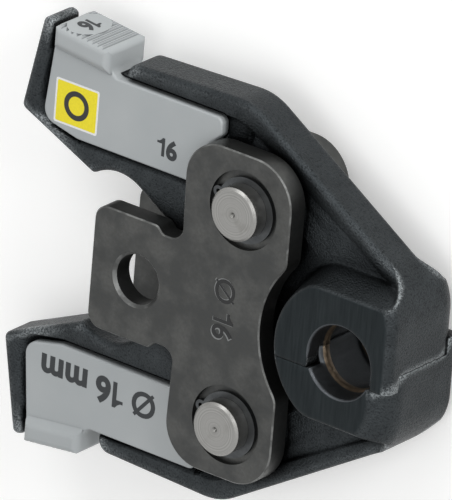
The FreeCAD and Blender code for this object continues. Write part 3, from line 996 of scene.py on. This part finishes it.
def worn_noses(material):
    """Both jaws with the far rim of the nose rounded off broadly, as the forging is dressed."""
    # The block round a nose from which its room is taken, to leave what is ground away
    block_centre = Vector((78, 20, 0)) * MM
    block_size = Vector((32, 56, 36)) * MM
    for node, body, turn in (
        ("upper_jaw", "upper_lever", Matrix.Identity(3)),
        ("lower_jaw", "lower_lever", Matrix.Rotation(math.pi, 3, "X")),
    ):
        block = bmesh.new()
        bmesh.ops.create_cube(block, size=1.0)
        for vertex in block.verts:
            vertex.co = turn @ (block_centre + vertex.co * block_size)
        outside = bpy.data.meshes.new("outside")
        block.to_mesh(outside)
        block.free()
        waste = cut(outside, worn_nose_room(turn), "waste")
        solid = bmesh.new()
        solid.from_mesh(frame["nodes"][node].data)
        bmesh.ops.remove_doubles(solid, verts=solid.verts, dist=0.0005 * MM)
        copy = bpy.data.meshes.new("copy")
        solid.to_mesh(copy)
        solid.free()
        mesh = cut(copy, waste, node + "_cut")
        mesh.shade_smooth()
        mesh.set_sharp_from_angle(angle=math.radians(24))
        piece = mesh_piece(node + "_forging", flattened(mesh, node + "_forging"), material)
        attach(piece, body)
        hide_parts(node)


# Closing spring


def tube(name, points, radius, sides, material):
    """A closed round tube along the points, with flat ends."""
    shape = bmesh.new()
    rings = []
    normal = Vector((0, 0, 1))
    for i, point in enumerate(points):
        way = points[min(i + 1, len(points) - 1)] - points[max(i - 1, 0)]
        way.normalize()
        normal = (normal - way * normal.dot(way)).normalized()
        side = way.cross(normal)
        turns = [2 * math.pi * k / sides for k in range(sides)]
        spokes = [(normal * math.cos(t) + side * math.sin(t)) * radius for t in turns]
        rings.append([shape.verts.new(point + spoke) for spoke in spokes])
    for ring, following in zip(rings, rings[1:]):
        for k in range(sides):
            j = (k + 1) % sides
            shape.faces.new((ring[k], ring[j], following[j], following[k]))
    shape.faces.new(list(reversed(rings[0])))
    shape.faces.new(rings[-1])
    bmesh.ops.recalc_face_normals(shape, faces=shape.faces)
    for face in shape.faces:
        face.smooth = len(face.verts) == 4
    mesh = bpy.data.meshes.new(name)
    shape.to_mesh(mesh)
    shape.free()
    return mesh_piece(name, mesh, material)


def closing_spring(material):
    """The leg spring in two halves from its coil's middle, one leg towards each lever."""
    wire = 0.9 * MM
    coil = 5.0 * MM
    rise_per_turn = 2.0 * MM
    leg_tip = 2.4 * MM
    centre_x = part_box("closing_spring")[1].x - coil - wire
    # Where the leg touches its lever, and where it leaves the coil to reach that place straight
    contact = Vector((9.5 * MM, 9.75 * MM, 0))
    reach = contact.xy - Vector((centre_x, 0))
    leave = math.atan2(reach.y, reach.x) - math.acos(coil / reach.length)
    middle = 3 * math.pi
    sweep = middle + leave
    pitch = rise_per_turn / (2 * math.pi)
    bends = 60
    points = []
    for i in range(bends + 1):
        angle = middle + sweep * i / bends
        height = pitch * (angle - middle)
        points.append(Vector((centre_x + coil * math.cos(angle), coil * math.sin(angle), height)))
    end = points[-1]
    way = Vector((-math.sin(leave), math.cos(leave), pitch / coil)).normalized()
    run = (reach.length**2 - coil**2) ** 0.5 + leg_tip
    parts = 16
    points += [end + way * run * step / parts for step in range(1, parts + 1)]
    halves = (("upper", 1, "upper_lever"), ("lower", -1, "lower_lever"))
    for name, side, lever in halves:
        flip = Vector((1, side, side))
        half = tube("closing_spring_" + name, [p * flip for p in points], wire, 20, material)
        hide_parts("closing_spring")
        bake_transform(half)


# Studio


def camera():
    """A long lens from the upper right of the front, at the photograph's angle."""
    position = Vector((1.86568, 1.37968, 2.56152))
    forward = Vector((-0.53675, -0.39773, -0.74412)).normalized()
    up = Vector((-0.29962, 0.9143, -0.27256))
    right = forward.cross(up).normalized()
    up = right.cross(forward)
    data = bpy.data.cameras.new("camera")
    data.sensor_width = 36
    data.lens = 1000
    data.clip_start = 0.1
    data.clip_end = 100
    eye = bpy.data.objects.new("camera", data)
    turn = Matrix((right, up, -forward)).transposed().to_4x4()
    eye.matrix_world = Matrix.Translation(position) @ turn
    bpy.context.scene.collection.objects.link(eye)
    bpy.context.scene.camera = eye


def lamp(name, direction, distance, size, power):
    """A square soft lamp that looks at the jaw's middle."""
    data = bpy.data.lights.new(name, "AREA")
    data.shape = "SQUARE"
    data.size = size
    data.energy = power
    lamp_object = bpy.data.objects.new(name, data)
    target = Vector((20 * MM, 0, 0))
    way = Vector(direction).normalized()
    lamp_object.location = target + way * distance
    lamp_object.rotation_euler = (-way).to_track_quat("-Z", "Y").to_euler()
    bpy.context.scene.collection.objects.link(lamp_object)


def studio():
    """The floor, the white surroundings and the four lamps."""
    shape = bmesh.new()
    bmesh.ops.create_grid(shape, x_segments=1, y_segments=1, size=4.0)
    mesh = bpy.data.meshes.new("studio_floor")
    shape.to_mesh(mesh)
    shape.free()
    floor = mesh_piece("studio_floor", mesh, floor_paper())
    floor.location.z = FLOOR

    # Half as bright for the light that falls on the jaw as for rays that see it
    world = bpy.data.worlds.new("studio_world")
    world.use_nodes = True
    tree = world.node_tree
    tree.nodes.clear()
    strength = add(
        tree, "ShaderNodeMapRange", {"Value": seen_ray(tree), "To Min": 0.5, "To Max": 1.0}
    )
    sky = add(
        tree, "ShaderNodeBackground", {"Color": linear("#ffffff"), "Strength": strength.outputs[0]}
    )
    add(tree, "ShaderNodeOutputWorld", {"Surface": sky.outputs[0]})
    bpy.context.scene.world = world

    lamp("key", (-0.15, 0.85, 0.6), 1.0, 0.5, 1.9)
    lamp("front", (0.35, 0.1, 1.0), 1.2, 0.8, 3.6)
    lamp("shoulder", (1.0, 0.7, 0.4), 1.1, 0.5, 4.8)
    lamp("low_side", (0.3, 1.0, 0.08), 0.9, 0.3, 0.9)


def main():
    """Dresses the frame's solids, adds the scene's own pieces and sets up the picture."""
    finishes = {
        "blackened_forging": blackened_forging(),
        "plate_steel": plate_steel(),
        "turned_steel": turned_steel(),
        "spring_steel": spring_steel(),
        "grey_plastic": grey_plastic(),
    }
    for subpart in frame["record"]["subparts"]:
        node = frame["nodes"][subpart["node"]]
        node.data.materials.clear()
        node.data.materials.append(finishes[subpart["material_slot"]])
    marks()
    worn_noses(finishes["blackened_forging"])
    closing_spring(finishes["spring_steel"])
    camera()
    studio()
    bpy.context.scene.view_settings.view_transform = "Standard"


main()
bpy.context.view_layer.update()
